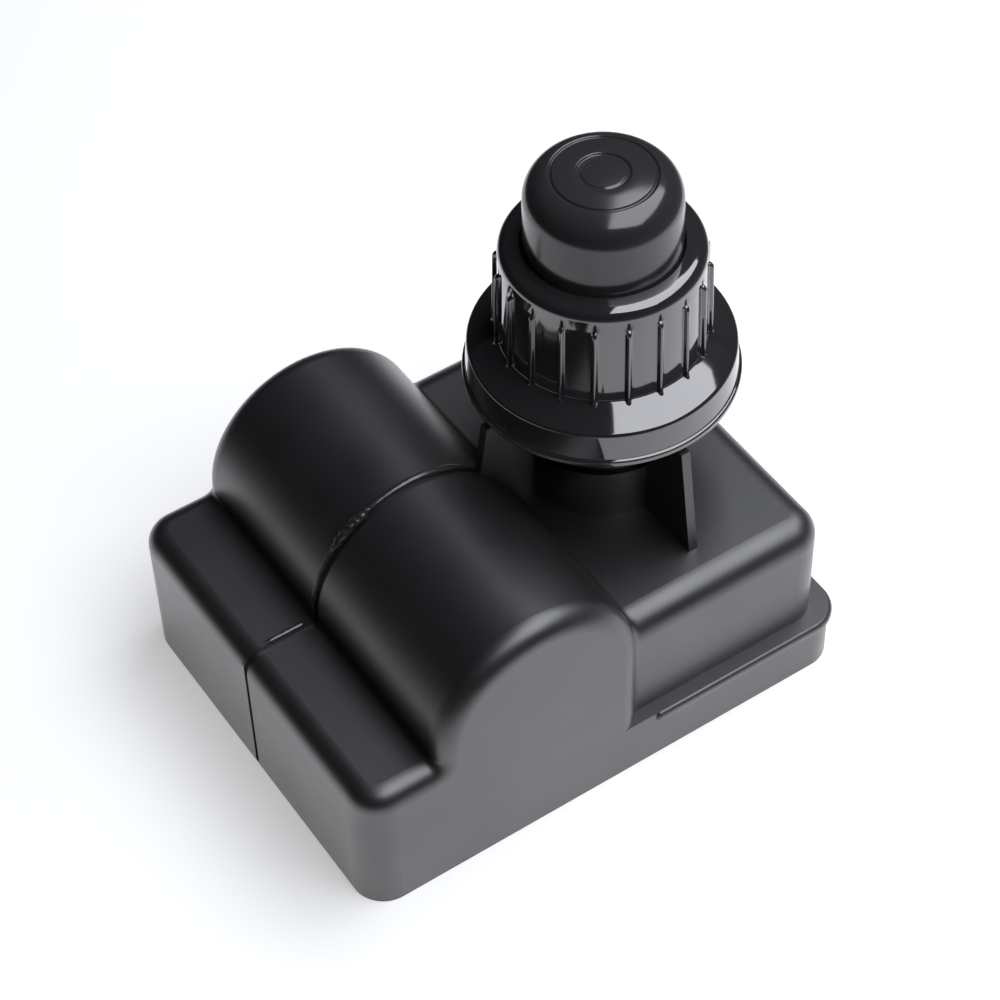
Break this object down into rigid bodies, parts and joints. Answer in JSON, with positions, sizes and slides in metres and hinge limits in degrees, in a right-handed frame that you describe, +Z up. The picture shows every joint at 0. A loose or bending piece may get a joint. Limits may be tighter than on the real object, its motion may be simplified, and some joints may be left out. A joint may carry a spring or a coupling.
{
  "type": "pushbutton spark igniter",
  "caption": "Battery spark igniter for a gas grill: black moulded housing, threaded neck with ribbed ring nut, domed push button, recessed outlets underneath.",
  "frame": {"origin": "middle of the footprint on the surface that the base stands on", "axes": "+Z up along the neck; +X along the housing from the low step to the neck; the face with the half-round hump's front end looks to -Y"},
  "size_m": [0.0754, 0.0584, 0.0762],
  "materials": {
    "housing": "satin moulded black",
    "gloss_cap": "polished moulded black",
    "screw_steel": "zinc plated",
    "tab_tin": "tinned",
    "contact_brass": "bright strip",
    "spring_steel": "drawn wire",
    "copper": "enamelled winding",
    "wire": "insulated wire",
    "ferrite": "pressed ferrite",
    "bobbin": "natural nylon",
    "board": "laminate with solder mask",
    "capacitor": "dipped film",
    "black_case": "moulded case",
    "resistor_body": "lacquered",
    "cell_jacket": "plain shrink jacket"
  },
  "bodies": {
    "housing": {"front_shell": "housing", "rear_shell": "housing", "base_cover": "housing", "base_screws": "screw_steel", "terminal_block": "housing", "outlet_tab_1": "tab_tin", "outlet_tab_2": "tab_tin", "outlet_tab_3": "tab_tin", "outlet_tab_4": "tab_tin", "outlet_tab_5": "tab_tin", "hv_core": "ferrite", "hv_primary": "copper", "hv_bobbin": "bobbin", "hv_secondary": "copper", "hv_leads": "wire", "circuit_board": "board", "oscillator_core": "ferrite", "oscillator_winding": "copper", "storage_capacitor": "capacitor", "thyristor": "black_case", "transistor": "black_case", "rectifier_diodes": "black_case", "resistors": "resistor_body", "switch_strip": "contact_brass", "negative_contact": "contact_brass", "battery_cell": "cell_jacket"},
    "cap_insert": {"contact_plate": "contact_brass", "button_spring": "spring_steel"},
    "cap_nut": {"ring_nut": "gloss_cap", "retaining_ring": "housing"},
    "button": {"push_button": "gloss_cap"}
  },
  "joints": [
    {"name": "cap_lift", "type": "slide", "parent": "housing", "child": "cap_insert", "axis": [0, 0, 1], "range_m": [0, 0.012]},
    {"name": "nut_turn", "type": "hinge", "parent": "cap_insert", "child": "cap_nut", "pos_m": [0.0177, 0, 0], "axis": [0, 0, 1], "range_deg": [0, 2160]},
    {"name": "button_press", "type": "slide", "parent": "cap_insert", "child": "button", "axis": [0, 0, -1], "range_m": [0, 0.003], "stiffness_N_per_m": 300, "springref_m": -0.006, "deforming": ["button_spring"]}
  ],
  "couplings": [
    {"joint": "cap_lift", "follows": "nut_turn", "m_per_rad": 0.00031831}
  ]
}
